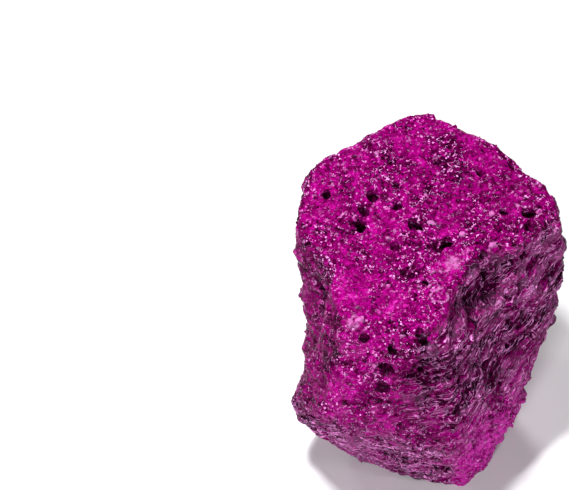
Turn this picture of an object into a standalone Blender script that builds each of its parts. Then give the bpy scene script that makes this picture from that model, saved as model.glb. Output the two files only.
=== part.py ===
"""A raw ruby: one broken, porous chunk that rests on a flat face.

Metres, +Z up. The origin lies on the resting face, under the middle of the stone, and -Y is the
front. The chunk is broken out of its corners, hollowed by a few shell-shaped chips, split into a
fine net of triangles, roughened with lumps, beds and grains, and last of all pierced by pores.
"""

import math
import random

import bmesh
import bpy
from mathutils import Matrix, Vector, noise
from mathutils.bvhtree import BVHTree

MM = 0.001

# The corners of the unbroken block, in millimetres: across, away from the front, and up.
CORNERS = {
    # the pitted top, from its front tip round to the right; it climbs 12 degrees to the back
    "front_tip": (-1.5, -12.5, 23.5),
    "right_corner": (12.8, 1.5, 26.7),
    "right_back": (11.9, 5.0, 27.5),
    "back_right": (7.3, 10.2, 28.6),
    "back_peak": (-0.9, 14.9, 29.8),
    "back_left": (-6.8, 12.3, 29.0),
    "left_back_high": (-10.2, 8.6, 28.1),
    "left_back": (-13.2, 6.6, 27.8),
    "left_corner": (-13.6, 2.4, 26.8),
    "left_front": (-12.9, -1.1, 26.1),
    "front_left": (-9.2, -10.0, 24.1),
    # the belt, where the block is widest
    "front_belly_left": (-10.8, -13.6, 15.9),
    "front_belly": (-4.8, -14.4, 14.0),
    "front_belly_right": (0.6, -13.5, 10.6),
    "right_front_low": (3.0, -12.5, 9.8),
    "right_side": (13.2, 2.5, 20.2),
    "right_side_low": (12.8, 1.3, 15.4),
    "left_side": (-12.3, 1.5, 19.5),
    "left_side_low": (-13.7, -6.5, 8.8),
    "left_behind": (-12.0, 7.5, 16.0),
    "back_belly_left": (-6.0, 14.5, 15.0),
    "back_belly_right": (5.0, 14.5, 13.0),
    "right_behind": (11.2, 8.5, 15.0),
    # the narrow foot and its flat resting face
    "right_heel_high": (8.7, -2.0, 4.8),
    "right_low": (8.4, -6.0, 6.2),
    "right_toe": (8.3, -5.2, 2.8),
    "left_heel_high": (-13.4, -5.0, 5.2),
    "left_heel": (-11.4, -5.4, 2.7),
    "front_heel": (-8.9, -6.4, 2.0),
    "foot_left": (-8.5, -3.5, 0.0),
    "foot_front_left": (-4.7, -6.9, 0.0),
    "foot_front": (0.5, -9.0, 0.0),
    "foot_front_right": (3.5, -9.5, 0.0),
    "foot_right": (6.8, -4.6, 0.0),
    "heel_right": (7.2, 3.0, 0.0),
    "heel_back_right": (5.0, 9.0, 0.0),
    "heel_back_left": (-5.5, 9.0, 0.0),
    "heel_left": (-9.0, 3.5, 0.0),
}

# Shell-shaped chips: the middle of the ball that fits the hollow, its three radii, and its turn
# about Z, in millimetres and degrees.
CHIPS = (
    ((7.4, -6.9, 24.3), (7.4, 4.8, 4.2), 45),  # under the right edge of the top
    ((12.6, -2.6, 24.2), (4.2, 4.2, 4.0), 0),  # the same one, further to the right
    ((8.6, -8.6, 18.2), (9.5, 4.6, 7.0), 45),  # the long hollow below both
    ((-0.8, -16.0, 20.0), (5.2, 4.0, 4.8), 25),  # the dark hollow in the front
    ((-13.6, -4.2, 21.5), (3.2, 4.4, 8.5), 25),  # the bite out of the left edge of the top
    ((-16.2, -2.5, 14.0), (4.3, 9.0, 5.0), -4),  # the waist on the left
    ((-10.7, 12.0, 21.5), (6.0, 3.5, 5.0), 38),  # behind, on the left
    ((10.4, 13.2, 20.0), (6.0, 4.0, 5.0), -40),  # behind, on the right
    ((-1.0, 12.8, 5.5), (5.0, 3.0, 3.5), 0),  # behind, near the foot
    ((-14.0, 3.5, 7.0), (3.5, 4.0, 4.0), 10),  # low on the left
    ((12.9, 0.8, 6.9), (3.9, 7.5, 5.0), -5),  # low on the right
)

LONGEST_EDGE = 1.8  # mm, of a triangle on the finished surface
SHORTEST_EDGE = 0.4  # mm, of a triangle left by the chips
WEAR_PASSES = 2  # how often the broken edges are rubbed down
RESTING_BAND = 1.2  # mm above the resting face, over which the roughness grows to full

LUMP_SPAN, LUMP_HEIGHT = 5.5, 0.55  # mm, the broad lumps
KNOB_SPAN, KNOB_HEIGHT = 2.4, 0.5  # mm, the crumbly knobs on them
BED_PITCH, BED_HEIGHT = 3.1, 0.42  # mm, the beds that show as ledges on the sides
BED_DIP = (0.16, -0.05)  # how far a bed climbs across and away from the front

# The large pores: a place on or near the surface, then width, length and depth in millimetres,
# and the turn of the length about the surface's own normal in degrees.
PORES = (
    ((-1.9, 0.7, 26.5), (1.5, 2.3, 2.2), 30),
    ((1.0, -1.3, 26.0), (1.5, 1.8, 2.2), 70),
    ((-7.4, 0.9, 26.5), (1.6, 1.9, 1.8), 20),
    ((-6.1, 4.3, 27.2), (1.2, 1.6, 1.8), 35),
    ((-3.7, 3.1, 27.0), (1.2, 1.4, 1.6), 0),
    ((-7.0, 2.6, 26.8), (1.3, 1.9, 1.2), 10),
    ((-10.6, 4.6, 27.2), (1.2, 1.4, 1.0), 0),
    ((-4.0, -1.8, 26.0), (1.0, 1.3, 1.1), 20),
    ((-1.4, -5.6, 25.2), (1.0, 1.7, 1.8), 50),
    ((6.8, 2.4, 26.8), (0.9, 1.3, 1.2), 80),
    ((9.4, 2.2, 26.8), (1.7, 2.0, 1.4), 80),
    ((4.6, -2.9, 25.6), (1.1, 1.5, 1.4), 40),
    ((-9.6, 10.2, 28.4), (1.0, 1.4, 1.0), 40),
    ((8.0, 8.0, 28.0), (1.1, 1.4, 1.0), 10),
    ((-1.3, -12.3, 23.3), (1.3, 1.7, 1.7), 0),
    ((-0.4, -12.4, 22.0), (1.5, 1.9, 1.6), 60),
    ((-4.4, -12.5, 22.0), (1.1, 1.6, 1.5), 30),
    ((-7.2, -11.7, 22.8), (1.0, 1.2, 1.2), 0),
    ((-5.4, -13.7, 18.0), (1.4, 1.5, 1.8), 0),
    ((-5.0, -13.3, 20.0), (1.3, 2.2, 1.2), 60),
    ((-1.4, -12.5, 19.6), (1.0, 1.4, 1.1), 0),
    ((-10.8, -2.9, 20.8), (1.2, 2.0, 1.6), 0),
    ((8.7, -2.9, 21.8), (1.1, 1.4, 1.2), 30),
    ((4.5, -7.3, 18.5), (1.1, 1.5, 1.3), 50),
    ((10.2, -3.2, 15.0), (1.1, 1.5, 1.2), 10),
    ((2.9, -11.0, 16.6), (1.1, 1.5, 1.2), 70),
    ((6.2, -8.2, 9.4), (1.2, 1.5, 1.3), 70),
    ((-9.0, -12.4, 13.2), (1.2, 1.8, 1.1), 90),
    ((-4.6, -11.4, 9.0), (1.1, 1.7, 1.1), 80),
    ((1.3, -10.6, 3.6), (1.3, 2.2, 1.3), 80),
)
HIDDEN_PORES = 14  # more of them, scattered over the sides that the front view doesn't show
HIDDEN_PORE_WIDTH = (1.0, 1.7)  # mm, the least and the most
WIDE_PORE = 1.6  # mm, from which a pore is made of smaller triangles
SEED = 11

RUBY_COLOUR = (0.42, 0.004, 0.22, 1.0)
RUBY_ROUGHNESS = 0.38


def clear_scene():
    for thing in list(bpy.data.objects):
        bpy.data.objects.remove(thing)


def show(name, mesh):
    stone = bpy.data.objects.new(name, mesh)
    bpy.context.collection.objects.link(stone)
    return stone


def hide_cutter(cutter):
    cutter.hide_render = True
    cutter.display_type = "WIRE"


def mesh_from(name, bm):
    bmesh.ops.recalc_face_normals(bm, faces=bm.faces)
    mesh = bpy.data.meshes.new(name)
    bm.to_mesh(mesh)
    bm.free()
    return mesh


def unbroken_block():
    """The flat-faced block that the corners span."""
    bm = bmesh.new()
    for corner in CORNERS.values():
        bm.verts.new(Vector(corner) * MM)
    bmesh.ops.convex_hull(bm, input=bm.verts)
    bmesh.ops.dissolve_limit(bm, angle_limit=math.radians(3), verts=bm.verts, edges=bm.edges)
    return mesh_from("block", bm)


def add_ball(bm, place, detail, roughness, seed):
    """A lumpy ball of radius 1, put where the place matrix says."""
    made = bmesh.ops.create_icosphere(bm, subdivisions=detail, radius=1.0)
    for vert in made["verts"]:
        bump = noise.noise(vert.co * 1.7 + Vector((seed, 0, 0)))
        vert.co = place @ (vert.co * (1 + roughness * bump))


def chip_cutters():
    """The lumpy balls that broke the shell-shaped chips out of the block."""
    bm = bmesh.new()
    for number, (middle, radii, turn) in enumerate(CHIPS):
        place = (
            Matrix.Translation(Vector(middle) * MM)
            @ Matrix.Rotation(math.radians(turn), 4, "Z")
            @ Matrix.Diagonal((*(Vector(radii) * MM), 1))
        )
        add_ball(bm, place, detail=2, roughness=0.12, seed=number * 7.3)
    return mesh_from("chips", bm)


def cut(stone, cutter):
    """Takes the cutter out of the stone, and leaves the result in the stone's own mesh."""
    hide_cutter(cutter)
    boolean = stone.modifiers.new(cutter.name, "BOOLEAN")
    boolean.operation = "DIFFERENCE"
    boolean.object = cutter
    boolean.use_self = True  # the balls in a cutter may meet each other
    graph = bpy.context.evaluated_depsgraph_get()
    broken = bpy.data.meshes.new_from_object(stone.evaluated_get(graph))
    stone.modifiers.clear()
    stone.data = broken


def split_to_size(bm, longest):
    """Halves every edge that is too long, until none is."""
    bmesh.ops.triangulate(bm, faces=bm.faces)
    while long_edges := [edge for edge in bm.edges if edge.calc_length() > longest]:
        bmesh.ops.subdivide_edges(bm, edges=long_edges, cuts=1)
        bmesh.ops.triangulate(bm, faces=[face for face in bm.faces if len(face.verts) > 3])


def resting(vert):
    return vert.co.z < 0.02 * MM


def wear_down(bm):
    """Rubs the broken edges down. The resting face stays flat and keeps its outline."""
    loose = [vert for vert in bm.verts if not resting(vert)]
    for _ in range(WEAR_PASSES):
        bmesh.ops.smooth_vert(bm, verts=loose, factor=0.5, use_axis_x=True, use_axis_y=True, use_axis_z=True)


def bed_step(where):
    """A saw-tooth from -0.5 to 0.5 that climbs through each bed and drops at its top."""
    level = where.z + BED_DIP[0] * where.x + BED_DIP[1] * where.y
    level += 1.1 * noise.noise(where / 6.0)
    return (level / BED_PITCH) % 1.0 - 0.5


def roughness_at(where, normal):
    """How far the surface stands out at a point, all in millimetres."""
    lumps = noise.fractal(where / LUMP_SPAN, 1.0, 2.0, 2)
    distances, _ = noise.voronoi(where / KNOB_SPAN)
    knobs = 0.45 - distances[0]
    sideways = 1 - abs(normal.z)
    return LUMP_HEIGHT * lumps + KNOB_HEIGHT * knobs + BED_HEIGHT * sideways * bed_step(where)


def roughen(bm):
    """Raises lumps, knobs and beds, less and less towards the flat resting face."""
    bm.normal_update()
    moves = {}
    for vert in bm.verts:
        where = vert.co / MM
        share = min(max(where.z / RESTING_BAND, 0.0), 1.0)
        moves[vert] = vert.normal * roughness_at(where, vert.normal) * share * MM
    for vert, move in moves.items():
        vert.co += move


def hidden_pores(surface):
    """Seeded places for pores on the back, the flanks and low down."""
    rng = random.Random(SEED)
    middle = Vector((0, 0, 14)) * MM
    found = []
    while len(found) < HIDDEN_PORES:
        towards = Vector((rng.gauss(0, 1), rng.gauss(0.9, 1), rng.gauss(-0.1, 0.6))).normalized()
        place, normal, _, _ = surface.ray_cast(middle + towards * 60 * MM, -towards)
        in_front = normal.y < -0.2 or normal.z > 0.75
        if in_front or place.z < 2.5 * MM or any((place - other).length < 3 * MM for other, _, _ in found):
            continue
        width = rng.uniform(*HIDDEN_PORE_WIDTH)
        size = (width, width * rng.uniform(1.1, 1.7), width * rng.uniform(0.9, 1.3))
        found.append((place, size, rng.uniform(0, 180)))
    return found


def pore_cutters(bm):
    """A lumpy ball for each pore, sunk into the surface along its normal."""
    surface = BVHTree.FromBMesh(bm)
    placed = [(Vector(place) * MM, size, turn) for place, size, turn in PORES]
    cutters = bmesh.new()
    for number, (near, size, turn) in enumerate(placed + hidden_pores(surface)):
        place, normal, _, _ = surface.find_nearest(near)
        width, length, depth = (side * MM for side in size)
        where = (
            Matrix.Translation(place)
            @ normal.to_track_quat("Z", "Y").to_matrix().to_4x4()
            @ Matrix.Rotation(math.radians(turn), 4, "Z")
            @ Matrix.Diagonal((width / 2, length / 2, depth, 1))
        )
        detail = 2 if size[0] >= WIDE_PORE else 1
        add_ball(cutters, where, detail, roughness=0.25, seed=number * 3.1)
    return mesh_from("pores", cutters)


def centre(mesh):
    """Moves the mesh sideways until the middle of its bounds is over the origin."""
    for axis in (0, 1):
        along = [vert.co[axis] for vert in mesh.vertices]
        shift = Vector((0, 0, 0))
        shift[axis] = -(min(along) + max(along)) / 2
        mesh.transform(Matrix.Translation(shift))


def ruby_material():
    material = bpy.data.materials.new("ruby")
    material.use_nodes = True
    shader = material.node_tree.nodes["Principled BSDF"]
    shader.inputs["Base Color"].default_value = RUBY_COLOUR
    shader.inputs["Roughness"].default_value = RUBY_ROUGHNESS
    material.diffuse_color = RUBY_COLOUR
    return material


def raw_ruby():
    stone = show("ruby_crystal", unbroken_block())
    cut(stone, show("chips", chip_cutters()))

    surface = bmesh.new()
    surface.from_mesh(stone.data)
    bmesh.ops.triangulate(surface, faces=surface.faces)
    bmesh.ops.dissolve_degenerate(surface, edges=surface.edges, dist=SHORTEST_EDGE * MM)
    split_to_size(surface, LONGEST_EDGE * MM)
    wear_down(surface)
    roughen(surface)
    pores = pore_cutters(surface)
    stone.data = mesh_from("ruby_crystal", surface)

    cut(stone, show("pores", pores))
    centre(stone.data)
    stone.data.materials.clear()
    stone.data.materials.append(ruby_material())


clear_scene()
raw_ruby()
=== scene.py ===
# %% [markdown]
# # A raw ruby, grain by grain
#
# This lesson dresses a plain solid model of a raw ruby. The real chunk is a crust of sugar-like
# ruby grains, half melted together, with dark pores between them. The solid model already has the
# broken faces, the hollows and the large pores. Here we add the rest: a finely broken skin, some
# eleven thousand small crystals that are sunk into it, a few pale plates, and a deep magenta,
# glassy material.
#
# Blender works in metres. Most cells here work in millimetres, because a grain of 0.4 is easier to
# think about than one of 0.0004, and each mesh is shrunk to metres once it is done.

# %% Load the solid model
import math

import bpy
import numpy as np
from mathutils import Matrix, Vector, noise
from mathutils.kdtree import KDTree


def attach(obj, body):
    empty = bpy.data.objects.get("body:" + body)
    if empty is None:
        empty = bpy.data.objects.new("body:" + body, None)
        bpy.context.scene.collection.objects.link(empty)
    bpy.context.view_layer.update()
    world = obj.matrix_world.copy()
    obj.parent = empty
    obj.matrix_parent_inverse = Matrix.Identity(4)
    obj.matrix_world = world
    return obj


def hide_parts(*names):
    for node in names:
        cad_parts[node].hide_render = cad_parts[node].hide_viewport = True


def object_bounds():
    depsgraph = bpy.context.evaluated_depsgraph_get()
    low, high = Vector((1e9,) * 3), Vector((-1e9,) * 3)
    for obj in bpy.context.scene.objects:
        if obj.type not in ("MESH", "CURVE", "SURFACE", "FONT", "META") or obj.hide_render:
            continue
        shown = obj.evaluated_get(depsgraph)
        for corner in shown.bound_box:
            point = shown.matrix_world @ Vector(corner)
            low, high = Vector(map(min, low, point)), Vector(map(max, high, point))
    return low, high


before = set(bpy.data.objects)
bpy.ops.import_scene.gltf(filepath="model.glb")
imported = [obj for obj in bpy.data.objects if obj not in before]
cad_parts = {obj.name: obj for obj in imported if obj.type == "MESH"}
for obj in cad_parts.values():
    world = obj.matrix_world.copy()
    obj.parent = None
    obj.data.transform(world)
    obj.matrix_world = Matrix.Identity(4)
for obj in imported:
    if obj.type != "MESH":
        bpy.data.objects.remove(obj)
solid_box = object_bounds()
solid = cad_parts["ruby_crystal"]
MM = 0.001
solid_size = [round(v / MM, 1) for v in solid_box[1] - solid_box[0]]
print("solid model:", len(solid.data.polygons), "faces,", solid_size, "mm")

# %% [markdown]
# ## The camera
#
# A small stone is best shown through a long lens from some way off, because a short lens close by
# would swell the near edge. We look down at it by 42 degrees. The stone sits in the right half of
# the frame, so the camera aims at a point to its left.

# %% Camera
DOWN = math.radians(42)
AIM = Vector((-14.45, 4.83, 19.90)) * MM
DISTANCE = 286.5 * MM

looking = Vector((0, math.cos(DOWN), -math.sin(DOWN)))
camera = bpy.data.objects.new("camera", bpy.data.cameras.new("camera"))
bpy.context.scene.collection.objects.link(camera)
camera.location = AIM - looking * DISTANCE
camera.rotation_euler = (math.pi / 2 - DOWN, 0, 0)
camera.data.lens = 180
camera.data.sensor_width = 36
camera.data.clip_start = 0.01
camera.data.clip_end = 10
bpy.context.scene.camera = camera
print("camera at", [round(v, 4) for v in camera.location])

# %% [markdown]
# ## From and to numpy
#
# A loop over a hundred thousand points is slow in Python, so the points of a mesh are copied to a
# numpy array, changed all at once, and copied back.

# %% Helpers for meshes
def points_of(mesh):
    found = np.empty(len(mesh.vertices) * 3, np.float32)
    mesh.vertices.foreach_get("co", found)
    return found.reshape(-1, 3).astype(float)


def normals_of(mesh):
    found = np.empty(len(mesh.vertices) * 3, np.float32)
    mesh.vertices.foreach_get("normal", found)
    return found.reshape(-1, 3).astype(float)


def edges_of(mesh):
    found = np.empty(len(mesh.edges) * 2, np.int32)
    mesh.edges.foreach_get("vertices", found)
    return found.reshape(-1, 2)


def triangles_of(mesh):
    mesh.calc_loop_triangles()
    found = np.empty(len(mesh.loop_triangles) * 3, np.int32)
    mesh.loop_triangles.foreach_get("vertices", found)
    return found.reshape(-1, 3)


def mesh_of_triangles(name, points, triangles):
    """A mesh from arrays, quicker than from_pydata."""
    mesh = bpy.data.meshes.new(name)
    mesh.vertices.add(len(points))
    mesh.vertices.foreach_set("co", points.astype(np.float32).ravel())
    mesh.loops.add(triangles.size)
    mesh.loops.foreach_set("vertex_index", triangles.astype(np.int32).ravel())
    mesh.polygons.add(len(triangles))
    mesh.polygons.foreach_set("loop_start", np.arange(0, triangles.size, 3, dtype=np.int32))
    mesh.update(calc_edges=True)
    mesh.validate()
    return mesh


def set_value(mesh, name, values):
    """Keeps one number per point under this name, for the material to read."""
    attribute = mesh.attributes.new(name, "FLOAT", "POINT")
    attribute.data.foreach_set("value", values.astype(np.float32))


print("points in the solid model:", len(points_of(solid.data)))

# %% [markdown]
# ## The body
#
# The solid model's triangles are about a millimetre long, too coarse for broken stone. A voxel
# remesh wraps the same shape in small, even squares, which can then be pushed in and out. A
# subdivision would do too, but it would leave the thin triangles thin.

# %% Remesh the solid into an even skin
VOXEL = 0.21  # mm

solid_copy = bpy.data.meshes.new_from_object(solid)
solid_copy.transform(Matrix.Scale(1 / MM, 4))
body = bpy.data.objects.new("ruby_body", solid_copy)
bpy.context.scene.collection.objects.link(body)
skin = body.modifiers.new("skin", "REMESH")
skin.mode = "VOXEL"
skin.voxel_size = VOXEL
bpy.context.view_layer.update()
body.data = bpy.data.meshes.new_from_object(body.evaluated_get(bpy.context.evaluated_depsgraph_get()))
body.modifiers.clear()

skin_points = points_of(body.data)
skin_normals = normals_of(body.data)
skin_edges = edges_of(body.data)
skin_places = [Vector(point) for point in skin_points]
print("skin:", len(body.data.polygons), "faces")

# %% [markdown]
# ## Hollows and ridges
#
# The material paints shade into the pores and highlights along the ridges, so it has to know which is
# which. If each point is moved to the middle of its neighbours again and again, the skin gets smooth:
# a point that lay above the smooth skin is on a ridge, and one that lay below it is in a hollow.

# %% Measure hollows and ridges
CALM_ROUNDS = 60
HOLLOW_FROM, HOLLOW_SPAN = 0.20, 0.25  # mm below the smooth skin
RIDGE_FROM, RIDGE_SPAN = 0.08, 0.25  # mm above it


def smoothed(values, rounds):
    """Replaces each row of values by the mean of its neighbours' rows, again and again."""
    first, second = skin_edges.T
    size = len(values)
    neighbours = np.bincount(first, minlength=size) + np.bincount(second, minlength=size)
    for _ in range(rounds):
        sums = [
            np.bincount(first, values[second, k], size) + np.bincount(second, values[first, k], size)
            for k in range(values.shape[1])
        ]
        values = np.stack(sums, axis=1) / np.maximum(neighbours, 1)[:, None]
    return values


def spread(numbers, rounds):
    """The same for one number at each point."""
    return smoothed(numbers[:, None], rounds)[:, 0]


def unit(vectors):
    return vectors / np.maximum(np.linalg.norm(vectors, axis=1), 1e-9)[:, None]


def ramp(values, start, span):
    """0 up to start, 1 from a span beyond it, straight between. A negative span makes it fall."""
    return np.clip((values - start) / span, 0, 1)


calm_points = smoothed(skin_points, CALM_ROUNDS)
calm_normals = unit(smoothed(skin_normals, CALM_ROUNDS))
below = ((calm_points - skin_points) * calm_normals).sum(axis=1)
hollow = ramp(below, HOLLOW_FROM, HOLLOW_SPAN)
ridge = ramp(-below, RIDGE_FROM, RIDGE_SPAN)
print("in hollows:", round((hollow > 0.5).mean(), 3), "on ridges:", round((ridge > 0.5).mean(), 3))

# %% [markdown]
# ## Patches
#
# Broken ruby isn't the same all over. In patches a few millimetres wide it is smooth and glassy,
# and between them it is coarse and sparkles. Noise alone would give such patches, but not the few
# that the eye goes to first, so those are spots with a place of their own. A painted texture could
# hold them too, but a soft ball, with a middle and a radius, is easier to move and to read.

# %% Coarse and glassy patches
GLASSY_SPOTS = [  # middle and radius, mm
    ((-5.4, 2.0, 26.7), 1.2),
    ((-1.7, 4.3, 27.3), 1.5),
    ((-7.6, -5.5, 24.6), 1.8),
    ((1.3, -4.2, 25.1), 1.3),
    ((-5.3, -9.4, 23.9), 1.6),
    ((6.8, 2.8, 27.0), 1.6),
    ((-8.6, -13.8, 17.2), 1.6),
]
COARSE_SPOTS = [
    ((-6.8, -3.0, 25.7), 1.5),
    ((-3.5, -4.3, 25.1), 1.6),
    ((-7.8, 2.1, 26.6), 1.2),
    ((0.3, -8.8, 24.2), 1.0),
    ((2.0, 7.0, 28.0), 1.5),
    ((8.8, 4.1, 27.2), 1.0),
]
SPOT_STRENGTH = 0.8
BROAD_SPAN, BROAD_STRENGTH = 3.1, 1.1  # mm, the patches
FINE_SPAN, FINE_STRENGTH = 1.3, 0.5  # mm, what frays their edges


def near_spots(where, spots):
    """1 in the middle of the nearest spot, falling to 0 outside it."""
    return max(math.exp(-(((where - Vector(middle)).length / radius) ** 2)) for middle, radius in spots)


def coarseness(where):
    """From 0 where the stone is smooth and glassy to 1 where it is coarse."""
    found = 0.5 + BROAD_STRENGTH * noise.noise(where / BROAD_SPAN)
    found += FINE_STRENGTH * noise.noise(where / FINE_SPAN)
    coarse_spots, glassy_spots = near_spots(where, COARSE_SPOTS), near_spots(where, GLASSY_SPOTS)
    found += SPOT_STRENGTH * coarse_spots - SPOT_STRENGTH * glassy_spots
    return min(1, max(0, found))


coarse_here = np.array([coarseness(where) for where in skin_places])
sideways = ramp(calm_normals[:, 2], 0.80, -0.45)  # 0 on the top, 1 on the sides
print("coarse:", round(coarse_here.mean(), 2), "facing sideways:", round(sideways.mean(), 2))

# %% [markdown]
# ## Lumps, beds and facets
#
# The crust grew as round lumps with sharp creases between them. On the sides thin beds stand out,
# low ledges and flat facets break the surface everywhere, and two bubbles have left a round wall.
# All of this could be painted with a bump texture, but it shows in the outline, so here it is
# real: each point of the skin gets a height, by which it will move along its own normal.

# %% Lumps and facets
LUMP_SPAN, LUMP_HEIGHT = 1.5, 0.75  # mm
LUMP_MIDDLE = 0.45  # how far from its centre, in spans, a lump is neither high nor low
LUMP_BEND, LUMP_BEND_SPAN = 0.35, 1.2  # mm
FACET_SPAN = 0.62  # mm
FACET_SLOPE = 0.42
FACET_SHUFFLE = 5.3  # sends neighbouring facets to places in the drift that have nothing in common
DRIFT_OFFSETS = (Vector((0, 0, 0)), Vector((31.4, 7.7, -12.9)), Vector((-5.3, 48.1, 22.6)))


def drift(where):
    """A vector that wanders smoothly from place to place, each part between about -1 and 1."""
    return Vector([noise.noise(where + offset) for offset in DRIFT_OFFSETS])


def lumps(where):
    """Round lumps with creases between them, each a cell of a bent Voronoi pattern."""
    bent = where + LUMP_BEND * drift(where / LUMP_BEND_SPAN)
    distances, _ = noise.voronoi(bent / LUMP_SPAN)
    return LUMP_HEIGHT * (LUMP_MIDDLE - distances[0])


def facets(where):
    """A flat face in each cell of a smaller pattern, which leans its own way."""
    _, centres = noise.voronoi(where / FACET_SPAN)
    tilt = drift(centres[0] * FACET_SHUFFLE)
    return FACET_SLOPE * tilt.dot(where - centres[0] * FACET_SPAN)


# %% Ledges, beds and bubbles
LEDGE_SPAN, LEDGE_HEIGHT = 4.2, 0.36  # mm
LEDGES = 5  # steps in a height of 1
LEDGE_FRAY, LEDGE_FRAY_SPAN = 0.25, 1.4  # how ragged the edges are, and how finely, in mm
LEDGE_EDGE = 4  # how steep they are
BED_PITCH, BED_HEIGHT = 1.35, 0.34  # mm
BED_WANDER, BED_WANDER_SPAN = 0.8, 3.0  # mm
BED_FADE_SPAN = 2.1  # mm
BED_RISE, BED_BEND = 0.30, 10  # how steeply the beds rise, and where that starts, in mm
BUBBLES = [((0.0, -6.6, 24.6), 0.45), ((0.5, -7.6, 24.3), 0.80)]  # middle and radius, mm
BUBBLE_WALL, BUBBLE_HEIGHT = 0.14, 0.26  # mm


def ledges(where):
    """Flat steps with steep, narrow edges between them, cut from a smooth noise."""
    smooth = noise.noise(where / LEDGE_SPAN) + LEDGE_FRAY * noise.noise(where / LEDGE_FRAY_SPAN)
    step = math.floor(smooth * LEDGES)
    rise = smooth * LEDGES - step
    return LEDGE_HEIGHT * ((step + min(1, max(0, (rise - 0.5) * LEDGE_EDGE + 0.5))) / LEDGES)


def beds(point, where):
    """Thin beds, one above the other. They lie flat, but rise towards the right side."""
    x, y, z = point
    level = z - BED_RISE * max(0.0, x + y + BED_BEND)
    level += BED_WANDER * noise.noise(where / BED_WANDER_SPAN)
    bed = ((level / BED_PITCH) % 1.0 - 0.5) * (0.5 + noise.noise(where / BED_FADE_SPAN))
    return BED_HEIGHT * bed


def bubble_wall(where):
    """1 on the round wall of a bubble, falling to 0 beside it."""
    offsets = [(where - Vector(middle)).length - radius for middle, radius in BUBBLES]
    return max(math.exp(-((offset / BUBBLE_WALL) ** 2)) for offset in offsets)


# %% Add the heights up
LUMP_SHARE = 0.3, 0.35, 0.2  # anywhere, more where it is coarse, and more on the sides
FACET_SHARE = 0.3, 0.7  # anywhere, and more where it is coarse

walls = np.array([bubble_wall(where) for where in skin_places])
lump_share = LUMP_SHARE[0] + LUMP_SHARE[1] * coarse_here + LUMP_SHARE[2] * sideways
facet_share = FACET_SHARE[0] + FACET_SHARE[1] * coarse_here
relief = np.zeros(len(skin_points))
for i, where in enumerate(skin_places):
    relief[i] = ledges(where)
    relief[i] += lumps(where) * lump_share[i]
    relief[i] += beds(skin_points[i], where) * sideways[i]
    relief[i] += facets(where) * facet_share[i]
    relief[i] += BUBBLE_HEIGHT * walls[i]
print("heights from", round(relief.min(), 2), "to", round(relief.max(), 2), "mm")

# %% [markdown]
# ## Small pores
#
# The solid model has the large pores. The real stone has hundreds of smaller ones, most of them
# where it is coarse. Cutting each with a boolean would be slow, and here the skin is fine enough to
# be pressed in instead: every point looks for the nearest pits and sinks by how deep it lies in
# them. Most pits fall at random, and the larger ones have a place of their own.

# %% Find the pits
SEED = 7
PIT_COUNT = 330
PIT_RADIUS = (0.15, 0.48)  # mm
PIT_SCATTER = 0.05  # mm off the skin
PIT_DEPTH = 1.1  # times its radius
PIT_FRAY, PIT_FRAY_SPAN = 0.5, 0.45  # how ragged the edge is, and how finely, in mm
SMALL_BIAS = 2.2  # above 1, so that small ones are the most common
GIVEN_PITS = [  # middle and radius, mm
    ((-10.8, -2.6, 20.9), 0.70),
    ((-10.7, -3.2, 20.0), 0.60),
    ((9.8, 0.5, 26.2), 0.70),
    ((4.1, -4.1, 25.0), 0.50),
    ((5.4, -4.8, 21.7), 0.75),
    ((-9.9, -10.1, 9.3), 0.60),
    ((-7.4, -10.3, 7.3), 0.70),
    ((-4.4, -9.8, 4.7), 0.60),
    ((8.0, -1.8, 26.1), 0.35),
    ((9.1, -1.4, 24.1), 0.45),
    ((7.8, -2.1, 24.0), 0.40),
    ((-1.6, -12.0, 19.1), 0.50),
    ((-0.8, -11.6, 22.0), 0.75),
    ((-1.3, -11.7, 23.4), 0.70),
    ((0.6, -1.9, 25.9), 0.70),
    ((8.9, -2.4, 21.7), 0.35),
]


def pit_depths(centres, radii):
    """How deep each point lies in a pit, from 0 outside to 1 in the middle, and that pit's radius."""
    tree = KDTree(len(centres))
    for i, centre in enumerate(centres):
        tree.insert(centre, i)
    tree.balance()
    depth, size = np.zeros((2, len(skin_points)))
    for i, where in enumerate(skin_places):
        ragged = 1 + PIT_FRAY * noise.noise(where / PIT_FRAY_SPAN)
        for _, k, distance in tree.find_n(skin_points[i], 3):
            share = distance / radii[k] * ragged
            if share < 1 and 1 - share * share > depth[i]:
                depth[i] = 1 - share * share
                size[i] = radii[k]
    return depth, size


rng = np.random.default_rng(SEED)
picked = rng.choice(len(skin_points), PIT_COUNT, p=coarse_here / coarse_here.sum())
pit_centres = skin_points[picked] + rng.normal(0, PIT_SCATTER, (PIT_COUNT, 3))
pit_radii = PIT_RADIUS[0] + (PIT_RADIUS[1] - PIT_RADIUS[0]) * rng.random(PIT_COUNT) ** SMALL_BIAS
pit_centres = np.concatenate([pit_centres, [middle for middle, _ in GIVEN_PITS]])
pit_radii = np.concatenate([pit_radii, [radius for _, radius in GIVEN_PITS]])
pit_depth, pit_size = pit_depths(pit_centres, pit_radii)
print("pits:", len(pit_radii), "on", round((pit_depth > 0).mean(), 3), "of the skin")

# %% [markdown]
# ## Push the skin in and out
#
# Each point now moves by its height. The heights fade to nothing near the floor, so the stone still
# stands on a flat face, and are low in the large pores, whose walls would otherwise cross. A thin
# wall at the back edge is left alone for the same reason. The pores get a little wider instead, to
# make up for what the remesh rounded off.

# %% Move the points
CALM_SPOTS = [((8.2, 8.2, 27.8), 1.8)]  # middle and radius, mm
FOOT_FADE = 0.6  # mm above the floor
PORE_WIDENING, PORE_CALM = 0.24, 0.65  # mm, and the share of the heights that is lost

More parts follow.
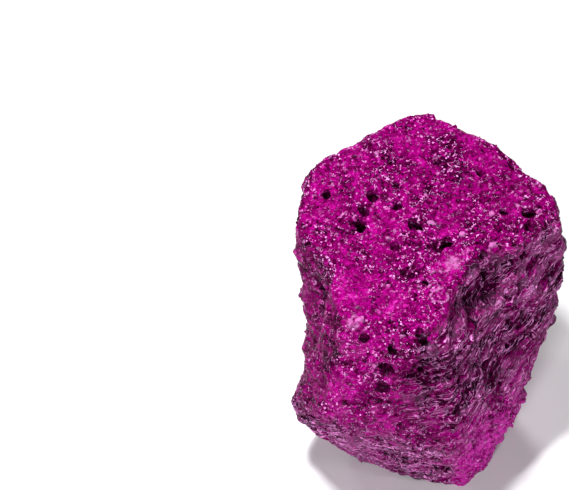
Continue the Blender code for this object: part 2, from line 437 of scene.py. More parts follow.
relief -= PIT_DEPTH * pit_size * np.sqrt(pit_depth)
near_hollow = spread(hollow, 3)
calm = np.array([near_spots(where, CALM_SPOTS) for where in skin_places])
calmed = relief * (1 - PORE_CALM * np.clip(2 * near_hollow, 0, 1))
widened = PORE_WIDENING * np.clip(1.5 * near_hollow, 0, 1)
relief = ramp(skin_points[:, 2], 0, FOOT_FADE) * (1 - calm) * (calmed - widened)
broken_points = skin_points + skin_normals * relief[:, None]
body.data.vertices.foreach_set("co", broken_points.astype(np.float32).ravel())
body.data.update()
print("relief from", round(relief.min(), 2), "to", round(relief.max(), 2), "mm")

# %% [markdown]
# ## What the material has to know
#
# A material can't see the shape as a whole, so five numbers are kept at each point for it to read.
# Tone goes from dark to light, and much of it is painted light and shade: the pores and the sides
# that turn right and left get painted shade, the low parts get painted light, and a few spots are
# painted darker or lighter. Glints is how many pale strokes and specks of painted highlight there
# are, side is how streaky the beds are, rough is the coarseness from above, and pale is how cloudy
# it is, with painted reflection of the floor on the belly. Painting them by hand would be freer,
# but these follow the shape when it changes.

# %% Pores, and which way the stone faces
SHADED_PIT = 0.28  # mm deep, from which a pit is as dark as a pore
RIM_ROUNDS, RIM_WIDTH = 5, 2.2

# Pores and deep pits get painted shade: the deeper a point lies in one, the darker its tone.
pore_shade = np.maximum(hollow, ramp(pit_depth * pit_size, 0, SHADED_PIT))
around_pores = spread(pore_shade, RIM_ROUNDS)
rim = np.clip(around_pores * RIM_WIDTH - pore_shade, 0, 1) * (pore_shade < 0.5)

across, height = skin_points[:, 0], skin_points[:, 2]
# Which way the smoothed skin faces and how low it lies, for the painted shade on the sides that turn right
# and left and the painted light low down.
turned_right = ramp(calm_normals @ [1.1, -0.3, 0.0], 0.2, 0.6)
turned_left = ramp(-calm_normals[:, 0], 0.35, 0.4)
low = ramp(height, 11, -5)
low_right = ramp(height, 13, -4) * ramp(across, 1, 3)
on_right = ramp(calm_normals[:, 0], 0.15, 0.3) * np.maximum(ramp(height, 6, 6), 0.1)
on_right *= np.maximum(ramp(height, 27, -4), 0.3)
on_belly = ramp(height, 11.5, -4) * np.maximum(ramp(across, 4, -3), 0.1)
print("dark in pores:", round((pore_shade > 0.5).mean(), 3), "rims:", round((rim > 0.5).mean(), 3))

# %% Tone
# Painted light and shade in the tone: the low parts are lighter, most of all on the lower right; the sides
# that turn right and left are darker; the sides are a little lighter and the belly's sides darker by which
# way they face; the pores are darker; rims and ridges are lighter as painted highlights.
TONE_MIDDLE = 0.45
TONE_LOW, TONE_LOW_RIGHT = 0.04, 0.47  # lighter by
TONE_RIGHT, TONE_LEFT = 0.20, 0.24  # darker by
TONE_SIDES, TONE_BELLY = 0.10, 0.26  # lighter by, darker by
TONE_PORE, TONE_RIM, TONE_RIDGE = 0.35, 0.1, 0.1  # darker by, lighter by, lighter by
# Spots of painted shade under the top's right edge, under the front tip, at the left front edge and at the
# back of the top, and of painted light on the top and on the front's left.
LIGHT_AND_SHADE_SPOTS = [  # middle, radius in mm, and how much darker or lighter
    ((5.7, -3.7, 22.3), 3.2, -0.24),
    ((4.0, -6.0, 20.5), 2.0, -0.17),
    ((-2.9, -13.2, 21.4), 1.8, -0.24),
    ((-0.4, -12.2, 19.0), 2.6, -0.24),
    ((-3.8, -13.8, 17.6), 1.5, -0.18),
    ((-8.1, -13.4, 18.8), 2.6, 0.14),
    ((2.1, -3.8, 25.4), 2.0, 0.18),
    ((-8.0, -8.0, 24.5), 3.0, 0.12),
    ((-1.4, -9.0, 24.0), 3.0, 0.14),
    ((3.0, 6.0, 28.0), 4.0, -0.10),
    ((-9.7, -9.8, 22.8), 1.2, -0.22),
    ((-9.9, -11.3, 19.8), 1.4, -0.22),
]


def spot_light_and_shade(where):
    """How much darker, as painted shade, or lighter, as painted light, the spots make the stone there."""
    return sum(
        change * math.exp(-(((where - Vector(middle)).length / radius) ** 2))
        for middle, radius, change in LIGHT_AND_SHADE_SPOTS
    )


spot_shading = np.array([spot_light_and_shade(where) for where in skin_places])
painted_light_and_shade = TONE_LOW * low + TONE_LOW_RIGHT * low_right
painted_light_and_shade -= (1 - low) * (TONE_RIGHT * turned_right + TONE_LEFT * turned_left)
painted_light_and_shade += spot_shading
painted_light_and_shade += (TONE_SIDES - TONE_BELLY * on_belly) * sideways
tone = TONE_MIDDLE + painted_light_and_shade - TONE_PORE * pore_shade + TONE_RIM * rim + TONE_RIDGE * ridge
print("tone from", round(tone.min(), 2), "to", round(tone.max(), 2))

# %% Painted glints, streaks and paleness
GLINTS_MIDDLE, GLINTS_RIM, GLINTS_RIDGE = 0.55, 0.9, 0.3
GLINTS_LOST_LEFT, GLINTS_LOST_RIGHT = 0.15, 0.4
STREAKS_LEAST = 0.08
# Paleness is cloudiness: pale spots, bubble walls and the rims of pores are paler. On the belly's sides it
# is painted reflection of the pale floor.
PALE_SPOTS = [((1.8, -3.9, 25.3), 1.2), ((-8.0, -10.8, 23.9), 1.0), ((5.9, -2.0, 26.1), 0.5)]
PALE_WALL, PALE_SPOT, PALE_RIM, BELLY_FLOOR_REFLECTION = 0.7, 0.55, 0.3, 0.30

# Glints are painted highlights: most on rims and ridges, fewer on the sides that turn right and left, and
# none in the pores.
glints_kept = 1 - GLINTS_LOST_LEFT * turned_left - GLINTS_LOST_RIGHT * turned_right
glints = np.clip(GLINTS_MIDDLE + GLINTS_RIM * rim + GLINTS_RIDGE * ridge, 0, 1) * (1 - pore_shade) * glints_kept
streaky = sideways * (STREAKS_LEAST + (1 - STREAKS_LEAST) * np.maximum(on_right, on_belly))
streaky *= np.clip(1 + 2 * spot_shading, 0.3, 1)  # fewer where a spot of painted shade lies
pale = PALE_SPOT * np.array([near_spots(where, PALE_SPOTS) for where in skin_places])
for other in (PALE_WALL * walls, PALE_RIM * rim, BELLY_FLOOR_REFLECTION * on_belly * sideways):
    pale = np.maximum(pale, other)
pale *= 1 - pore_shade

body_values = {"tone": tone, "glints": glints, "side": streaky, "rough": coarse_here, "pale": pale}
for label, numbers in body_values.items():
    set_value(body.data, label, numbers)
    print(label, "on average:", round(numbers.mean(), 2))

# %% [markdown]
# ## The grains
#
# A ruby grain is a small, angular crystal. Each one here is the hull of eight to ten random points
# on a ball, so it has flat facets that each catch the light in turn. Forty of them are made once
# and then used many times, turned, stretched and sized at random. Cubes would be simpler, but all
# their corners are alike, and the eye would see it.

# %% Grain shapes
import bmesh

SHAPE_COUNT = 40
FEWEST_POINTS, MOST_POINTS = 8, 10


def grain_shape(points_on_ball):
    """Points and triangles of one angular grain, about 1 across."""
    hull = bmesh.new()
    for _ in range(points_on_ball):
        direction = rng.normal(0, 1, 3)
        hull.verts.new(direction / np.linalg.norm(direction) * 0.5)
    bmesh.ops.convex_hull(hull, input=hull.verts)
    hull.verts.index_update()
    points = np.array([vert.co for vert in hull.verts])
    triangles = np.array([[vert.index for vert in face.verts] for face in hull.faces])
    hull.free()
    return points, triangles


point_counts = rng.integers(FEWEST_POINTS, MOST_POINTS + 1, SHAPE_COUNT)
SHAPES = [grain_shape(int(count)) for count in point_counts]
print("grain shapes:", len(SHAPES), "of", len(SHAPES[0][1]), "triangles or so")

# %% [markdown]
# ## Many grains in one mesh
#
# Thousands of objects would make the scene slow, and instances don't survive every export, so the
# grains of a piece are joined in one mesh. They are placed with whole arrays at a time: all grains
# of one shape are stretched, turned and moved by a single product of matrices.

# %% Random places and turns
def scatter(points, triangles, count):
    """Random places, each triangle by its area: where, the normal there, and a point close by."""
    a, b, c = (points[triangles[:, k]] for k in range(3))
    crossed = np.cross(b - a, c - a)
    area = np.linalg.norm(crossed, axis=1)
    chosen = rng.choice(len(triangles), count, p=area / area.sum())
    u, v = rng.random((2, count))
    flip = u + v > 1
    u[flip], v[flip] = 1 - u[flip], 1 - v[flip]
    place = a[chosen] + u[:, None] * (b - a)[chosen] + v[:, None] * (c - a)[chosen]
    return place, crossed[chosen] / area[chosen][:, None], triangles[chosen, 0]


def random_turns(count):
    """Rotation matrices that point every way alike, from random quaternions."""
    q = rng.normal(0, 1, (count, 4))
    w, x, y, z = (q / np.linalg.norm(q, axis=1)[:, None]).T
    rows = [
        [1 - 2 * (y * y + z * z), 2 * (x * y - z * w), 2 * (x * z + y * w)],
        [2 * (x * y + z * w), 1 - 2 * (x * x + z * z), 2 * (y * z - x * w)],
        [2 * (x * z - y * w), 2 * (y * z + x * w), 1 - 2 * (x * x + y * y)],
    ]
    return np.moveaxis(np.array(rows), 2, 0)


# %% Join the grains of a piece
crust = []


def grains_mesh(name, places, sizes, turns, values):
    """One mesh of many grains. sizes holds three lengths for each, and values one number for each."""
    kind = rng.integers(0, len(SHAPES), len(places))
    all_points, all_triangles, all_rows, start = [], [], [], 0
    for k, (shape_points, shape_triangles) in enumerate(SHAPES):
        mine = np.flatnonzero(kind == k)
        stretched = shape_points[None] * sizes[mine][:, None, :]
        placed = np.einsum("nij,npj->npi", turns[mine], stretched) + places[mine][:, None, :]
        offsets = start + np.arange(len(mine)) * len(shape_points)
        all_points.append(placed.reshape(-1, 3))
        all_triangles.append((shape_triangles[None] + offsets[:, None, None]).reshape(-1, 3))
        all_rows.append(np.repeat(mine, len(shape_points)))
        start += len(mine) * len(shape_points)
    mesh = mesh_of_triangles(name, np.concatenate(all_points), np.concatenate(all_triangles))
    rows = np.concatenate(all_rows)
    for label, given in values.items():
        set_value(mesh, label, given[rows])
    return mesh


def add_to_crust(mesh):
    """Shrinks a finished mesh to metres and shows it under its own name."""
    mesh.transform(Matrix.Scale(MM, 4))
    piece = bpy.data.objects.new(mesh.name, mesh)
    bpy.context.scene.collection.objects.link(piece)
    crust.append(piece)
    print(piece.name, "has", len(mesh.polygons), "triangles")


# %% [markdown]
# ## Where the grains sit
#
# The places are drawn evenly over the skin, and then thinned out: most grains sit where the stone
# is coarse, fewer where it is streaky, and none in a pore. Each lies with its middle below the skin,
# so that only a corner or two shows, because the real ones have grown together. Two meshes share
# them, to keep each one light.

# %% Scatter the crust
PIECES = 2
TRIES_PER_PIECE = 18000
MOST_PER_PIECE = 9000
GRAIN_SIZE = (0.25, 1.05)  # mm
GRAIN_STRETCH = (0.7, 1.2)
GRAIN_SUNK = (0.28, 0.45)  # of its size, from the skin down to its middle
GRAINS_LEAST, GRAINS_LOST = 0.10, 0.6  # the share kept where it is glassy, and lost to streaks
NEAR_PORE, NEAR_FLOOR, TOO_CALM = 0.2, 0.5, 0.3

skin_triangles = triangles_of(body.data)
for number in range(PIECES):
    place, normal, nearest = scatter(broken_points, skin_triangles, TRIES_PER_PIECE)
    wanted = GRAINS_LEAST + (1 - GRAINS_LEAST) * ramp(coarse_here[nearest], 0.3, 0.5)
    wanted *= (1 - GRAINS_LOST * streaky[nearest]) * (calm[nearest] < TOO_CALM)
    keep = rng.random(len(place)) < wanted
    keep &= (around_pores[nearest] < NEAR_PORE) & (place[:, 2] > NEAR_FLOOR)
    chosen = np.flatnonzero(keep)[:MOST_PER_PIECE]
    place, normal, nearest = place[chosen], normal[chosen], nearest[chosen]
    count = len(place)
    size = GRAIN_SIZE[0] + (GRAIN_SIZE[1] - GRAIN_SIZE[0]) * rng.random(count) ** SMALL_BIAS
    lengths = size[:, None] * rng.uniform(*GRAIN_STRETCH, (count, 3))
    sunk = rng.uniform(*GRAIN_SUNK, count) * size
    turns = random_turns(count)
    # The grains take the painted light and shade of the skin below them, and fewer painted glints than it
    # has.
    values = {
        "tone": 0.25 + 0.5 * rng.random(count) + painted_light_and_shade[nearest],
        "glints": 0.4 * glints_kept[nearest],
        "side": streaky[nearest],
        "rough": coarse_here[nearest],
        "pale": 0.5 * rng.random(count) ** 4,
    }
    middles = place - normal * sunk[:, None]
    add_to_crust(grains_mesh(f"ruby_grains_{number + 1}", middles, lengths, turns, values))
    print("grains:", count)

# %% [markdown]
# ## Plates
#
# Here and there on the top a flat cleavage face shows as a pale, angular plate. They are the same
# hulls as the grains, pressed thin and laid almost flat on the skin. Four large ones have a place
# of their own, which a search tree finds on the broken skin.

# %% Lay the plates
PLATE_COUNT = 36
PLATE_TRIES = 216
PLATE_SIZE = (0.5, 1.1)  # mm
PLATE_THICKNESS, PLATE_LIFT = 0.30, 0.05  # mm
PLATE_TILT = 0.14
LARGE_PLATES = [  # where, length, width, and how far it's turned, in mm and degrees
    ((0.1, 0.6, 26.6), 1.7, 1.1, -25),
    ((5.9, -2.0, 26.1), 1.1, 0.9, 10),
    ((5.9, 1.9, 26.7), 0.9, 0.7, 60),
    ((-7.2, -10.6, 24.0), 1.3, 0.8, 30),
]


def lying_turns(normals, angles):
    """Rotation matrices whose third axis is the normal, turned about it by the angle."""
    sideways_axis = unit(np.cross(normals, [0.0, 1.0, 0.01]))
    along = np.cross(normals, sideways_axis)
    cosine, sine = np.cos(angles)[:, None], np.sin(angles)[:, None]
    first, second = cosine * sideways_axis + sine * along, cosine * along - sine * sideways_axis
    return np.stack([first, second, normals], axis=2)


place, _, nearest = scatter(broken_points, skin_triangles, PLATE_TRIES)
keep = (pore_shade[nearest] < 0.1) & (place[:, 2] > 1.0) & (sideways[nearest] < 0.3)
chosen = np.flatnonzero(keep)[:PLATE_COUNT]
small_sizes = rng.random((len(chosen), 2)) ** 1.5
small_sizes = PLATE_SIZE[0] + (PLATE_SIZE[1] - PLATE_SIZE[0]) * small_sizes
small_angles = rng.uniform(0, 2 * math.pi, len(chosen))

skin_tree = KDTree(len(broken_points))
for i, point in enumerate(broken_points):
    skin_tree.insert(point, i)
skin_tree.balance()
large = [skin_tree.find(Vector(where))[1] for where, _, _, _ in LARGE_PLATES]
large_sizes = [[length, width] for _, length, width, _ in LARGE_PLATES]
large_angles = [math.radians(turn) for _, _, _, turn in LARGE_PLATES]

place = np.concatenate([broken_points[large], place[chosen]])
nearest = np.concatenate([large, nearest[chosen]])
lean = unit(calm_normals[nearest] + rng.normal(0, PLATE_TILT, (len(place), 3)))
sizes = np.concatenate([large_sizes, small_sizes])
sizes = np.column_stack([sizes, np.full(len(sizes), PLATE_THICKNESS)])
turns = lying_turns(lean, np.concatenate([large_angles, small_angles]))
values = {
    "tone": rng.uniform(0.5, 0.8, len(place)),
    "glints": np.full(len(place), 0.3),
    "side": np.zeros(len(place)),
    "rough": np.full(len(place), 0.2),
    "pale": np.concatenate([np.full(len(large), 0.8), rng.uniform(0.1, 0.6, len(chosen))]),
}
middles = place + PLATE_LIFT * calm_normals[nearest]
add_to_crust(grains_mesh("ruby_plates", middles, sizes, turns, values))
print("plates:", len(place))

body.data.transform(Matrix.Scale(MM, 4))

# %% [markdown]
# ## Ruby
#
# Ruby is clear, deep magenta glass with many cracks inside, so most of the light that enters a
# grain comes out again coloured. A Principled shader with a saturated base colour gives that at a
# fraction of the cost of real refraction. The pattern on it is one group of nodes, because the
# skin and the grains both need it, with facets that slope more on the one than on the other. The
# next cells build it step by step: facets, pale strokes, streaks, bump and tone.

# %% Helpers for nodes, and an empty group
GROUP_NUMBERS = ("Slope", "Tone", "Glints", "Side", "Rough", "Pale")


def group_of(name, inputs, outputs):
    group = bpy.data.node_groups.new(name, "ShaderNodeTree")
    for label, kind in inputs:
        group.interface.new_socket(label, in_out="INPUT", socket_type=kind)
    for label, kind in outputs:
        group.interface.new_socket(label, in_out="OUTPUT", socket_type=kind)
    return group, group.nodes.new("NodeGroupInput"), group.nodes.new("NodeGroupOutput")


def add_node(tree, kind, **settings):
    node = tree.nodes.new(kind)
    for name, value in settings.items():
        setattr(node, name, value)
    return node


def add_noise(tree, place, scale, detail=2.0, distortion=0.0):
    """A noise with that many waves in a metre."""
    made = add_node(tree, "ShaderNodeTexNoise")
    made.inputs["Scale"].default_value = scale
    made.inputs["Detail"].default_value = detail
    made.inputs["Distortion"].default_value = distortion
    tree.links.new(place, made.inputs["Vector"])
    return made.outputs["Fac"]


def ease(tree, value, start, end):
    """From 0 at start to 1 at end, smoothly. It falls if end is the smaller."""
    made = add_node(tree, "ShaderNodeMapRange", interpolation_type="SMOOTHSTEP")
    made.inputs["From Min"].default_value = min(start, end)
    made.inputs["From Max"].default_value = max(start, end)
    made.inputs["To Min"].default_value = 0.0 if start < end else 1.0
    made.inputs["To Max"].default_value = 1.0 if start < end else 0.0
    tree.links.new(value, made.inputs["Value"])
    return made.outputs["Result"]


def maths(tree, operation, *values):
    """A Math node. Each value is a socket or a number."""
    made = add_node(tree, "ShaderNodeMath", operation=operation)
    for socket, value in zip(made.inputs, values):
        if isinstance(value, (int, float)):
            socket.default_value = value
        else:
            tree.links.new(value, socket)
    return made.outputs[0]


def away_from(tree, value, middle):
    """How far a value is from that number. It is near 0 along thin, winding lines of a noise."""
    return maths(tree, "ABSOLUTE", maths(tree, "SUBTRACT", value, middle))


crystals, crystals_in, crystals_out = group_of(
    "ruby_crystals",
    [(label, "NodeSocketFloat") for label in GROUP_NUMBERS],
    [(label, "NodeSocketFloat") for label in ("Tone", "Glints", "Haze")] + [("Normal", "NodeSocketVector")],
)
tree = crystals
given = crystals_in.outputs
here = add_node(tree, "ShaderNodeTexCoord").outputs["Object"]
print("numbers that the pattern reads:", ", ".join(GROUP_NUMBERS))

# %% [markdown]
# ## Facets
#
# What makes ruby rough sparkle is that its surface is broken into crystals, down to a fifth of a
# millimetre. A Voronoi texture cuts space into cells, and its colour output is one random colour
# for each cell: used as a direction, it tilts each cell's normal its own way, so that each becomes
# a flat facet. Two sizes lie over each other, and both tilt less where the stone is glassy.

# %% Facets of two sizes
PATCH_FRAY = 900  # waves in a metre
SMALL_CELLS, LARGE_CELLS = 4800, 2100  # cells in a metre


def tilted_cells(place, scale, slope, normal):
    """A normal that leans its own way in each Voronoi cell. Gives the normal and the cells."""
    cells = add_node(tree, "ShaderNodeTexVoronoi")
    cells.inputs["Scale"].default_value = scale
    tree.links.new(place, cells.inputs["Vector"])
    middle = add_node(tree, "ShaderNodeVectorMath", operation="SUBTRACT")
    middle.inputs[1].default_value = (0.5, 0.5, 0.5)
    tree.links.new(cells.outputs["Color"], middle.inputs[0])
    lean = add_node(tree, "ShaderNodeVectorMath", operation="SCALE")
    tree.links.new(middle.outputs[0], lean.inputs[0])
    tree.links.new(slope, lean.inputs["Scale"])
    total = add_node(tree, "ShaderNodeVectorMath", operation="ADD")
    tree.links.new(lean.outputs[0], total.inputs[0])
    tree.links.new(normal, total.inputs[1])
    return total.outputs[0], cells


def colours_of(cells):
    """The red, green and blue of each cell's colour: three random numbers for it."""
    parts = add_node(tree, "ShaderNodeSeparateColor")
    tree.links.new(cells.outputs["Color"], parts.inputs["Color"])
    return parts.outputs


frayed = maths(tree, "MULTIPLY_ADD", add_noise(tree, here, PATCH_FRAY), 0.9, -0.45)
coarse = ease(tree, maths(tree, "ADD", frayed, given["Rough"]), 0.10, 0.95)
slope = maths(tree, "MULTIPLY", given["Slope"], maths(tree, "MULTIPLY_ADD", coarse, 0.8, 0.2))
facing = add_node(tree, "ShaderNodeNewGeometry").outputs["Normal"]
leaning, small_cells = tilted_cells(here, SMALL_CELLS, slope, facing)
leaning, large_cells = tilted_cells(here, LARGE_CELLS, slope, leaning)
straight = add_node(tree, "ShaderNodeVectorMath", operation="NORMALIZE")
tree.links.new(leaning, straight.inputs[0])
small_tones, large_tones = colours_of(small_cells), colours_of(large_cells)
print("cells of", round(1000 / SMALL_CELLS, 2), "and", round(1000 / LARGE_CELLS, 2), "mm")

# %% [markdown]
# ## Strokes, specks and clouds
#
# Where a crack or an edge catches the light, it shows as a short pale stroke, and a tiny facet as a
# speck. Both are painted highlights in the base colour. A noise takes its middle value along thin,
# winding lines, so those lines are the strokes, cut to length by a second noise. Specks are the
# middles of a few of the small cells. A third noise makes the cloudy places pale in patches. Meshes
# for thousands of strokes would look no better and cost far more.

# %% Strokes, specks and clouds
STROKES, STROKE_GAPS, CLOUDS = 2700, 2300, 1800  # waves in a metre
STROKE_EDGE, STROKE_CUT = (0.050, 0.03), (0.55, 0.575)
SPECK_EDGE, SPECK_SHARE = (0.52, 0.42), (0.965, 0.975)

lines = add_noise(tree, here, STROKES, 0.0, 0.9)
strokes = ease(tree, away_from(tree, lines, 0.5), *STROKE_EDGE)
strokes = maths(tree, "MULTIPLY", strokes, ease(tree, add_noise(tree, here, STROKE_GAPS, 1.0), *STROKE_CUT))
specks = ease(tree, small_cells.outputs["Distance"], *SPECK_EDGE)
specks = maths(tree, "MULTIPLY", specks, ease(tree, small_tones["Red"], *SPECK_SHARE))

# The painted highlights, as many as the glints number asks for, go out together with the pale clouds.
strength = maths(tree, "MULTIPLY", maths(tree, "MULTIPLY_ADD", coarse, 0.7, 0.5), given["Glints"])
marks = maths(tree, "MULTIPLY", maths(tree, "MAXIMUM", strokes, specks), ease(tree, strength, 0.05, 0.75))
mottled = maths(tree, "MULTIPLY_ADD", add_noise(tree, here, CLOUDS, 3.0), 1.2, -0.6)
mottled = ease(tree, maths(tree, "ADD", mottled, given["Pale"]), 0.26, 0.60)
cloudy = maths(tree, "MULTIPLY", mottled, 0.40)
tree.links.new(maths(tree, "MAXIMUM", marks, cloudy), crystals_out.inputs["Glints"])
print("nodes so far:", len(tree.nodes))

# %% [markdown]
# ## Streaks along the beds
#
# On the sides the stone's beds show as long, thin, mauve streaks. The same trick as for the
# strokes works here, in a space that is pressed flat: a noise in it is stretched along the beds,
# which rise towards the right just as the beds of the mesh do. A broader noise in the same space
# lays a soft wash over some of the beds and makes others deeper.

# %% Streaks
ALONG, UPWARDS = 0.22, 1.2  # how the space is pressed
STREAKS, STREAK_GAPS, BANDS = 3400, 1500, 1000  # waves in a metre
STREAK_EDGE, STREAK_CUT = (0.045, 0.028), (0.44, 0.54)
WASH = 0.16

axes = add_node(tree, "ShaderNodeSeparateXYZ")
tree.links.new(here, axes.inputs[0])
x_and_y = maths(tree, "ADD", axes.outputs["X"], axes.outputs["Y"])
rising = maths(tree, "MAXIMUM", maths(tree, "ADD", x_and_y, BED_BEND * MM), 0.0)
level = maths(tree, "MULTIPLY_ADD", rising, -BED_RISE, axes.outputs["Z"])
pressed_parts = add_node(tree, "ShaderNodeCombineXYZ")
tree.links.new(maths(tree, "MULTIPLY", axes.outputs["X"], ALONG), pressed_parts.inputs["X"])
tree.links.new(maths(tree, "MULTIPLY", axes.outputs["Y"], ALONG), pressed_parts.inputs["Y"])
tree.links.new(maths(tree, "MULTIPLY", level, UPWARDS), pressed_parts.inputs["Z"])
pressed = pressed_parts.outputs[0]

streak_lines = away_from(tree, add_noise(tree, pressed, STREAKS, 1.0, 0.4), 0.5)
streaks = maths(tree, "MULTIPLY", ease(tree, streak_lines, *STREAK_EDGE), given["Side"])
streak_gaps = ease(tree, add_noise(tree, pressed, STREAK_GAPS), *STREAK_CUT)
streaks = maths(tree, "MULTIPLY", streaks, streak_gaps)
bands = add_noise(tree, pressed, BANDS, 3.0, 0.3)
wash = maths(tree, "MULTIPLY", given["Side"], WASH)
wash = maths(tree, "MULTIPLY", ease(tree, bands, 0.50, 0.60), wash)
tree.links.new(maths(tree, "MAXIMUM", streaks, wash), crystals_out.inputs["Haze"])
print("nodes so far:", len(tree.nodes))

# %% [markdown]
# ## Bump and tone
#
# Strokes and streaks stand out a little, and a fine wiggle makes the facets' edges uneven. That is
# too small to see in the outline, so bump will do. The tone is the one that each point was given,
# shifted in soft patches and by a random step in each crystal, with a painted shadow beside each stroke.

# %% Bump and tone
WIGGLES = 2300  # waves in a metre
BROAD_TONES, FINE_TONES = 600, 1700
BESIDE = 0.41  # where the dark line runs in the noise of the strokes

bump = add_node(tree, "ShaderNodeBump")
bump.inputs["Strength"].default_value = 0.9
bump.inputs["Distance"].default_value = 0.3 * MM
wiggles = add_noise(tree, here, WIGGLES, 1.0, 2.4)
raised = maths(tree, "ADD", wiggles, maths(tree, "MULTIPLY", strokes, 0.15))
raised = maths(tree, "ADD", raised, maths(tree, "MULTIPLY", streaks, 0.9))
tree.links.new(raised, bump.inputs["Height"])
tree.links.new(straight.outputs[0], bump.inputs["Normal"])
tree.links.new(bump.outputs["Normal"], crystals_out.inputs["Normal"])

shadow_line = ease(tree, away_from(tree, lines, BESIDE), 0.05, 0.02)
deep_bands = maths(tree, "MULTIPLY", ease(tree, bands, 0.48, 0.38), given["Side"])
large_step = maths(tree, "MULTIPLY_ADD", coarse, 0.15, 0.1)
small_step = maths(tree, "MULTIPLY_ADD", coarse, 0.25, 0.20)
shift = maths(tree, "MULTIPLY_ADD", add_noise(tree, here, BROAD_TONES, 4.0), 0.80, -1.36)
for source, amount in (
    (add_noise(tree, here, FINE_TONES, 3.0, 1.2), 1.7),
    (shadow_line, -0.35),
    (coarse, -0.36),
    (deep_bands, -0.30),
    (large_tones["Red"], large_step),
    (small_tones["Green"], small_step),
):
    shift = maths(tree, "MULTIPLY_ADD", source, amount, shift)
tree.links.new(maths(tree, "ADD", shift, given["Tone"]), crystals_out.inputs["Tone"])
print("crystal pattern:", len(tree.nodes), "nodes")

# %% [markdown]
# ## The ruby material
#
# The tone becomes a colour on a ramp from almost black to bright magenta. The streaks are then
# mixed in as a mauve haze, and the painted highlights and the clouds as pale pink. Ruby shines, but
# a strong white shine would grey the darks, so there is little of it and it is tinted.

# %% Ruby materials
# The pale pink of the painted highlights and of the cloudy patches.
GLINT_AND_CLOUD_COLOUR = (1.0, 0.37, 0.88, 1)
HAZE_COLOUR = (1.0, 0.34, 0.82, 1)
SHINE_COLOUR = (1.0, 0.4, 0.9, 1)
RUBY_TONES = [
    (0.001, (0.020, 0.0001, 0.010)),
    (0.15, (0.085, 0.0003, 0.036)),
    (0.40, (0.20, 0.0008, 0.10)),
    (0.62, (0.29, 0.0006, 0.155)),
    (0.85, (0.42, 0.004, 0.24)),
    (0.999, (0.60, 0.03, 0.40)),
]
MIX_FACTOR, MIX_UNDER, MIX_OVER, MIX_RESULT = 0, 6, 7, 2  # a Mix node's sockets for colours


def tone_ramp(tree):
    """A colour ramp of the ruby tones. The two colours that it starts with go last."""
    made = add_node(tree, "ShaderNodeValToRGB")
    elements = made.color_ramp.elements
    for position, colour in RUBY_TONES:
        elements.new(position).color = (*colour, 1)
    elements.remove(elements[0])
    elements.remove(elements[-1])
    return made


def ruby_material(name, slope):
    """Ruby that reads the numbers of each point and adds the crystal pattern to them."""
    material = bpy.data.materials.new(name)
    material.use_nodes = True
    tree = material.node_tree
    shader = tree.nodes["Principled BSDF"]
    shader.inputs["IOR"].default_value = 1.33
    shader.inputs["Specular IOR Level"].default_value = 0.04
    shader.inputs["Specular Tint"].default_value = SHINE_COLOUR
    shader.inputs["Roughness"].default_value = 0.10
    pattern = add_node(tree, "ShaderNodeGroup", node_tree=crystals)
    pattern.inputs["Slope"].default_value = slope
    for label in GROUP_NUMBERS[1:]:  # all but the slope
        kept = add_node(tree, "ShaderNodeAttribute", attribute_name=label.lower())
        tree.links.new(kept.outputs["Fac"], pattern.inputs[label])
    tones = tone_ramp(tree)
    tree.links.new(pattern.outputs["Tone"], tones.inputs["Fac"])
    colour = tones.outputs["Color"]
    for label, over in (("Haze", HAZE_COLOUR), ("Glints", GLINT_AND_CLOUD_COLOUR)):
        mixed = add_node(tree, "ShaderNodeMix", data_type="RGBA")
        mixed.inputs[MIX_OVER].default_value = over
        tree.links.new(pattern.outputs[label], mixed.inputs[MIX_FACTOR])
        tree.links.new(colour, mixed.inputs[MIX_UNDER])
        colour = mixed.outputs[MIX_RESULT]
    tree.links.new(colour, shader.inputs["Base Color"])
    tree.links.new(pattern.outputs["Normal"], shader.inputs["Normal"])
    return material


body_ruby = ruby_material("ruby_body", 0.6)
grain_ruby = ruby_material("ruby_grain", 0.4)
print("materials:", body_ruby.name, grain_ruby.name)

# %% [markdown]
# ## Tie it to the part
#
# The stone doesn't move, so all of it rides on the one body that the part has. The skin stands in
# for the solid, and the grains and plates go with it.

# %% Ride, replace and give the materials
body.data.materials.clear()
body.data.materials.append(body_ruby)
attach(body, "root")
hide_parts("ruby_crystal")
for grains in crust:
    grains.data.materials.append(grain_ruby)
    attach(grains, "root")
print("pieces:", body.name, *[grains.name for grains in crust])

# %% [markdown]
# ## The floor
#
# The stone stands on a pale floor. The lamps are near, so a real floor would go dark a little way
# behind the stone. A larger, brighter lamp would cure that, and wash out the shadow. Here the far
# part of the floor glows, but only straight to the eye, so it throws no light on the stone.

# %% Floor
FLOOR_SIZE = 1.6  # m
FLOOR_COLOUR = (0.86, 0.86, 0.87, 1)
GLOW_NEAR, GLOW_FAR = 45 * MM, 110 * MM
WHITE = (1, 1, 1, 1)

bpy.ops.mesh.primitive_plane_add(size=FLOOR_SIZE)
floor = bpy.context.object
floor.name = "floor"
floor_material = bpy.data.materials.new("pale_floor")
floor_material.use_nodes = True
tree = floor_material.node_tree
floor_shader = tree.nodes["Principled BSDF"]
floor_shader.inputs["Base Color"].default_value = FLOOR_COLOUR
floor_shader.inputs["Roughness"].default_value = 0.9
floor_shader.inputs["Specular IOR Level"].default_value = 0.0
floor_shader.inputs["Emission Color"].default_value = WHITE

place = add_node(tree, "ShaderNodeTexCoord").outputs["Object"]
distance = add_node(tree, "ShaderNodeVectorMath", operation="LENGTH")
tree.links.new(place, distance.inputs[0])
to_eye = add_node(tree, "ShaderNodeLightPath").outputs["Is Camera Ray"]
far = ease(tree, distance.outputs["Value"], GLOW_NEAR, GLOW_FAR)
tree.links.new(maths(tree, "MULTIPLY", far, to_eye), floor_shader.inputs["Emission Strength"])
floor.data.materials.append(floor_material)
print("floor:", FLOOR_SIZE, "m wide")

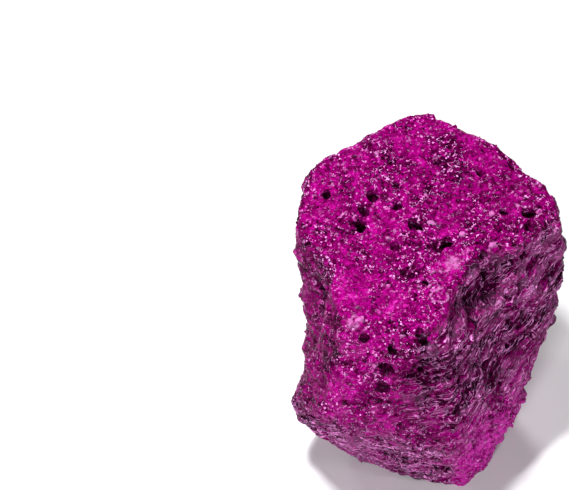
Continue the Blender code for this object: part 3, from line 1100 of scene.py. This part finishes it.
# %% [markdown]
# ## Lamps and sky
#
# A soft lamp above and to the left lights the top and leaves the right side in shade. One from
# behind and one from the front lift what it misses, and two small ones make the facets sparkle.
# One big lamp would be softer still, but then no facet would stand out. The sky is dark overhead
# and brighter along the horizon, so that facets have both to reflect, and white where it is seen
# directly.

# %% Lamps and sky
LAMPS = [  # name, direction, distance and width in mm, and power in watts
    ("key", (-0.26, -0.10, 0.95), 150, 20, 0.28),
    ("over", (0.0, 0.74, 0.67), 200, 25, 0.16),
    ("front", (-0.20, -0.88, 0.40), 220, 30, 0.30),
    ("spark_left", (-0.75, 0.35, 0.62), 220, 14, 0.04),
    ("spark_right", (0.30, -0.55, 0.80), 220, 14, 0.04),
]
STONE_MIDDLE = Vector((0, 0, 15)) * MM
HORIZON, OVERHEAD = 0.12, 0.04  # the sky's strength
HORIZON_TOP, OVERHEAD_FROM = 0.05, 0.45  # how far up each of them reaches


def lamp(name, towards, distance, size, power):
    """A square soft lamp that shines at the stone from that direction."""
    light = bpy.data.lights.new(name, "AREA")
    light.size = size * MM
    light.energy = power
    holder = bpy.data.objects.new(name, light)
    bpy.context.scene.collection.objects.link(holder)
    direction = Vector(towards).normalized()
    holder.location = STONE_MIDDLE + direction * distance * MM
    holder.rotation_euler = direction.to_track_quat("Z", "Y").to_euler()


for settings in LAMPS:
    lamp(*settings)

sky = bpy.data.worlds.new("sky")
bpy.context.scene.world = sky
sky.use_nodes = True
tree = sky.node_tree
direction = add_node(tree, "ShaderNodeTexCoord").outputs["Generated"]
axes = add_node(tree, "ShaderNodeSeparateXYZ")
tree.links.new(direction, axes.inputs[0])
fade = add_node(tree, "ShaderNodeMapRange")
fade.inputs["From Min"].default_value = HORIZON_TOP
fade.inputs["From Max"].default_value = OVERHEAD_FROM
fade.inputs["To Min"].default_value = HORIZON
fade.inputs["To Max"].default_value = OVERHEAD
tree.links.new(axes.outputs["Z"], fade.inputs["Value"])
to_eye = add_node(tree, "ShaderNodeLightPath").outputs["Is Camera Ray"]
strength = maths(tree, "MAXIMUM", fade.outputs["Result"], to_eye)
tree.links.new(strength, tree.nodes["Background"].inputs["Strength"])
tree.nodes["Background"].inputs["Color"].default_value = WHITE
bpy.context.scene.view_settings.view_transform = "Standard"
print("lamps:", len(LAMPS))
